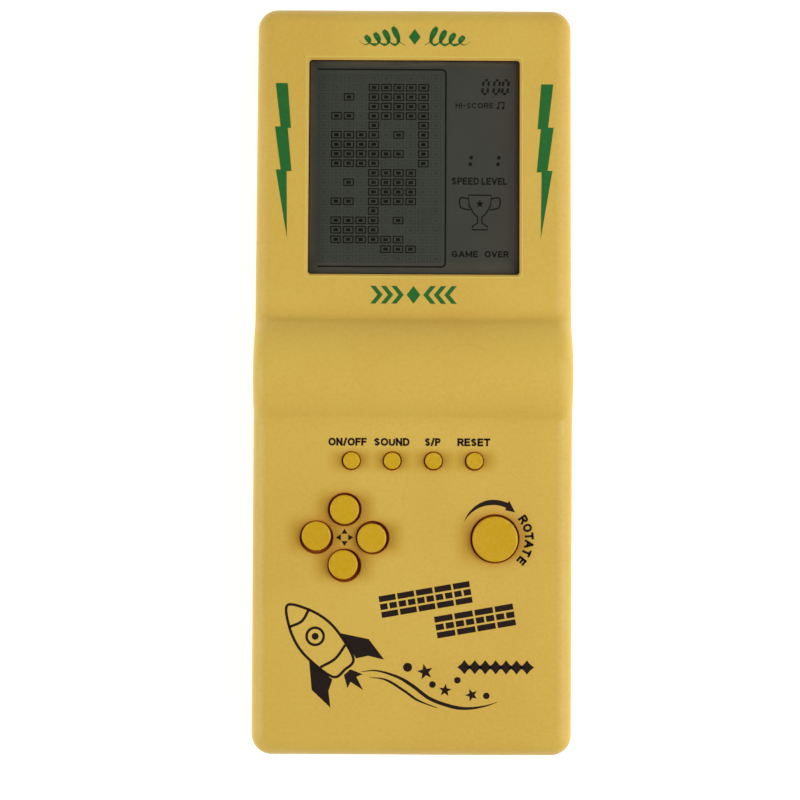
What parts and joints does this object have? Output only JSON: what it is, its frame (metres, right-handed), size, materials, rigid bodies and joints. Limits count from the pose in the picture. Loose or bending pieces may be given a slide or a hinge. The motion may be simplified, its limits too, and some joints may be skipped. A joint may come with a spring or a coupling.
{
  "type": "handheld lcd game",
  "caption": "Handheld LCD block game in a two-shell case with a rounded battery hump, a tilted screen face, round push keys over a rubber keypad, and a hinged battery door on the back",
  "frame": {"origin": "middle of the flat back, at the bottom centre of the bounding box, with the game lying on its back", "axes": "+Z comes out of the front face, +Y points along the case to the screen end, +X points to the right as the screen is read"},
  "size_m": [0.0788, 0.185, 0.0261],
  "materials": {
    "case": "moulded ABS with a fine satin grain",
    "rear_case": "moulded ABS with a fine satin grain",
    "key_cap": "smooth moulded plastic with a rounded rim",
    "window": "clear polished acrylic",
    "lcd_glass": "clear flat glass",
    "lcd_film": "grey-green polarising film",
    "inner_plastic": "plain moulded plastic",
    "circuit_board": "brown phenolic board with a lacquered copper side",
    "epoxy": "poured black epoxy",
    "capacitor_sleeve": "shrunk plastic sleeve",
    "resistor_body": "lacquered ceramic",
    "rubber": "soft silicone rubber",
    "carbon_rubber": "carbon-filled rubber",
    "flat_cable": "flat cable with ribbed insulation",
    "cell_jacket": "printed metal can",
    "contact_metal": "nickel-plated spring steel",
    "buzzer_brass": "thin brass disc",
    "buzzer_ceramic": "silvered ceramic disc",
    "screw_steel": "zinc-plated steel",
    "red_wire": "smooth insulation",
    "black_wire": "smooth insulation"
  },
  "bodies": {
    "root": {"front_case": "case", "rear_case": "rear_case", "window_lens": "window", "lcd_front_glass": "lcd_glass", "lcd_rear_glass": "lcd_glass", "lcd_polariser": "lcd_film", "lcd_reflector": "lcd_film", "lcd_holder": "inner_plastic", "main_board": "circuit_board", "key_board": "circuit_board", "chip_blob": "epoxy", "capacitors": "capacitor_sleeve", "resistors": "resistor_body", "rubber_keypad": "rubber", "carbon_pills": "carbon_rubber", "contact_strip": "carbon_rubber", "ribbon_cable": "flat_cable", "battery_cell_lower": "cell_jacket", "battery_cell_upper": "cell_jacket", "negative_terminal": "contact_metal", "positive_terminal": "contact_metal", "link_contact": "contact_metal", "negative_spring": "contact_metal", "link_spring": "contact_metal", "buzzer_plate": "buzzer_brass", "buzzer_ceramic": "buzzer_ceramic", "case_screws": "screw_steel", "key_board_screws": "screw_steel", "main_board_screws": "screw_steel", "buzzer_wire_red": "red_wire", "battery_wire_red": "red_wire", "buzzer_wire_black": "black_wire", "battery_wire_black": "black_wire"},
    "power_button": {"power_button": "key_cap"},
    "sound_button": {"sound_button": "key_cap"},
    "start_pause_button": {"start_pause_button": "key_cap"},
    "reset_button": {"reset_button": "key_cap"},
    "up_button": {"up_button": "key_cap"},
    "down_button": {"down_button": "key_cap"},
    "left_button": {"left_button": "key_cap"},
    "right_button": {"right_button": "key_cap"},
    "rotate_button": {"rotate_button": "key_cap"},
    "battery_door": {"battery_door": "rear_case"}
  },
  "joints": [
    {"name": "battery_door_hinge", "type": "hinge", "parent": "root", "child": "battery_door", "pos_m": [0, 0.01535, 0.0008], "axis": [1, 0, 0], "range_deg": [0, 90]},
    {"name": "power_press", "type": "slide", "parent": "root", "child": "power_button", "axis": [0, 0, -1], "range_m": [0, 0.0008], "stiffness_N_per_m": 500, "deforming": ["rubber_keypad", "carbon_pills"]},
    {"name": "sound_press", "type": "slide", "parent": "root", "child": "sound_button", "axis": [0, 0, -1], "range_m": [0, 0.0008], "stiffness_N_per_m": 500, "deforming": ["rubber_keypad", "carbon_pills"]},
    {"name": "start_pause_press", "type": "slide", "parent": "root", "child": "start_pause_button", "axis": [0, 0, -1], "range_m": [0, 0.0008], "stiffness_N_per_m": 500, "deforming": ["rubber_keypad", "carbon_pills"]},
    {"name": "reset_press", "type": "slide", "parent": "root", "child": "reset_button", "axis": [0, 0, -1], "range_m": [0, 0.0008], "stiffness_N_per_m": 500, "deforming": ["rubber_keypad", "carbon_pills"]},
    {"name": "up_press", "type": "slide", "parent": "root", "child": "up_button", "axis": [0, 0, -1], "range_m": [0, 0.0008], "stiffness_N_per_m": 500, "deforming": ["rubber_keypad", "carbon_pills"]},
    {"name": "down_press", "type": "slide", "parent": "root", "child": "down_button", "axis": [0, 0, -1], "range_m": [0, 0.0008], "stiffness_N_per_m": 500, "deforming": ["rubber_keypad", "carbon_pills"]},
    {"name": "left_press", "type": "slide", "parent": "root", "child": "left_button", "axis": [0, 0, -1], "range_m": [0, 0.0008], "stiffness_N_per_m": 500, "deforming": ["rubber_keypad", "carbon_pills"]},
    {"name": "right_press", "type": "slide", "parent": "root", "child": "right_button", "axis": [0, 0, -1], "range_m": [0, 0.0008], "stiffness_N_per_m": 500, "deforming": ["rubber_keypad", "carbon_pills"]},
    {"name": "rotate_press", "type": "slide", "parent": "root", "child": "rotate_button", "axis": [0, 0, -1], "range_m": [0, 0.0008], "stiffness_N_per_m": 500, "deforming": ["rubber_keypad", "carbon_pills"]}
  ]
}
